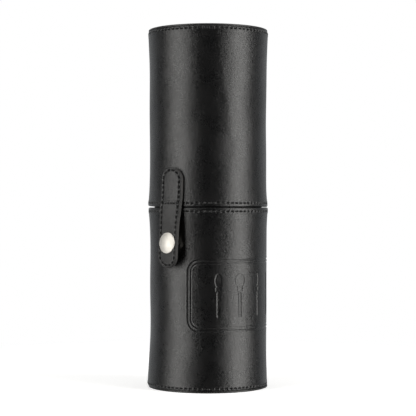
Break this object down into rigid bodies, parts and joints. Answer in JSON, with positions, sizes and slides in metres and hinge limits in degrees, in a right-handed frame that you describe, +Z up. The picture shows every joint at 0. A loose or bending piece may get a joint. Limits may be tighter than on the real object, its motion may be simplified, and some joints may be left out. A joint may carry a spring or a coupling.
{
  "type": "cylindrical brush case",
  "caption": "Round leather-covered tube case: a lower cup with an inner collar, a lid that slides over it, and a strap with a press stud.",
  "frame": {"origin": "centre of the underside, on the tube's axis", "axes": "+Z up along the tube's axis, from the underside to the top; -Y towards the strap"},
  "size_m": [0.075, 0.0812, 0.22],
  "materials": {
    "leather": "smooth black, semi-gloss",
    "thread": "waxed black thread",
    "board": "grey board",
    "lining": "short black nap",
    "snap_metal": "satin nickel"
  },
  "bodies": {
    "base": {"base_board_tube": "board", "base_wrap": "leather", "base_bottom_cover": "leather", "base_floor_board": "board", "base_floor_pad": "lining", "collar_tube": "board", "collar_cover": "leather", "base_lining": "lining", "base_foot_stitching": "thread", "base_rim_stitching": "thread", "snap_stud": "snap_metal", "stud_rivet": "snap_metal"},
    "lid": {"lid_board_tube": "board", "lid_wrap": "leather", "lid_top_cover": "leather", "lid_top_board": "board", "lid_ceiling_pad": "lining", "lid_lining": "lining", "lid_top_stitching": "thread", "lid_rim_stitching": "thread", "strap_anchor_backing": "leather", "strap_anchor": "leather", "strap_anchor_stitching": "thread"},
    "strap": {"strap_flap_backing": "leather", "strap_flap": "leather", "strap_flap_stitching": "thread", "snap_cap": "snap_metal", "cap_post": "snap_metal", "snap_socket": "snap_metal", "snap_spring": "snap_metal"}
  },
  "joints": [
    {"name": "lid_lift", "type": "slide", "parent": "base", "child": "lid", "axis": [0, 0, 1], "range_m": [0, 0.08]},
    {"name": "strap_fold", "type": "hinge", "parent": "lid", "child": "strap", "pos_m": [0, -0.03995, 0.113], "axis": [-1, 0, 0], "range_deg": [-3.13, 150]}
  ]
}
